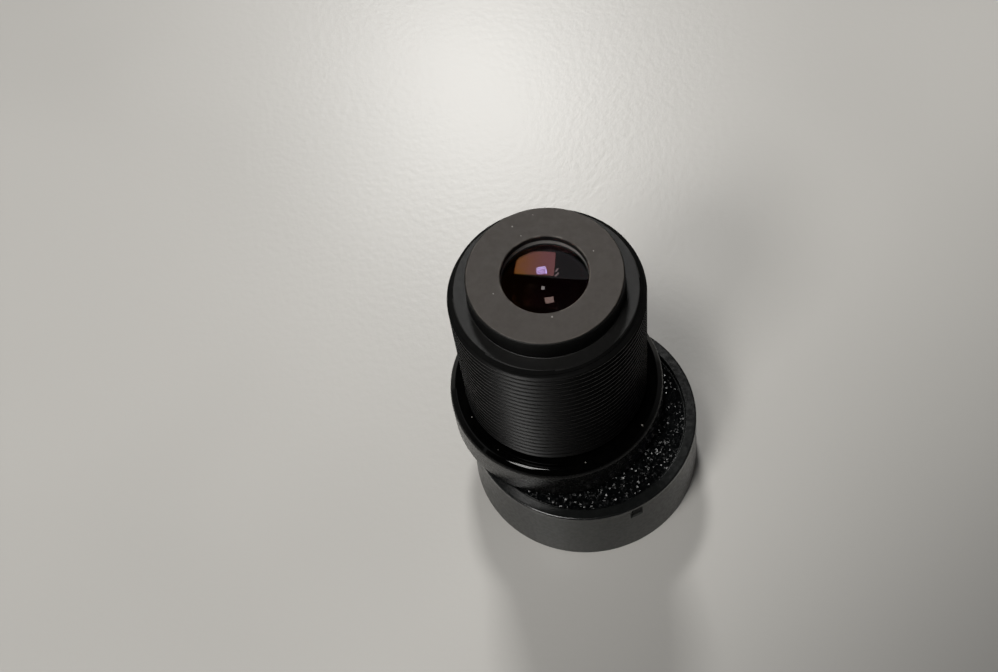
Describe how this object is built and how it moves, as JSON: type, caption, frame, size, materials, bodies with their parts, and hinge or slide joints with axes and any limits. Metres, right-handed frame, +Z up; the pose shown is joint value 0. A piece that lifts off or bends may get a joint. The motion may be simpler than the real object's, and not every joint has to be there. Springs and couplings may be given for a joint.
{
  "type": "board camera lens",
  "caption": "Small threaded board camera lens with a flanged head, standing head down and off centre on its round black dust cap.",
  "frame": {"origin": "centre of the dust cap's mouth, on the surface that the cap stands on", "axes": "+Z up, along the cap and the lens, from the lens's front (down) to its rear (up)"},
  "size_m": [0.0162, 0.0163, 0.0215],
  "materials": {
    "cap_plastic": "satin moulded side and rim, spark-textured recess",
    "anodised_metal": "black anodised, turned, satin to gloss",
    "blackened_ring": "black anodised, matt",
    "coated_glass": "polished, with a coating that reflects orange to violet",
    "stop_foil": "blackened foil"
  },
  "bodies": {
    "root": {"lens_cap": "cap_plastic", "lens_barrel": "anodised_metal", "front_retainer": "blackened_ring", "front_element": "coated_glass", "front_spacer": "blackened_ring", "second_element": "coated_glass", "middle_spacer": "blackened_ring", "aperture_stop": "stop_foil", "doublet_front": "coated_glass", "doublet_rear": "coated_glass", "rear_spacer": "blackened_ring", "rear_element": "coated_glass"}
  },
  "joints": []
}
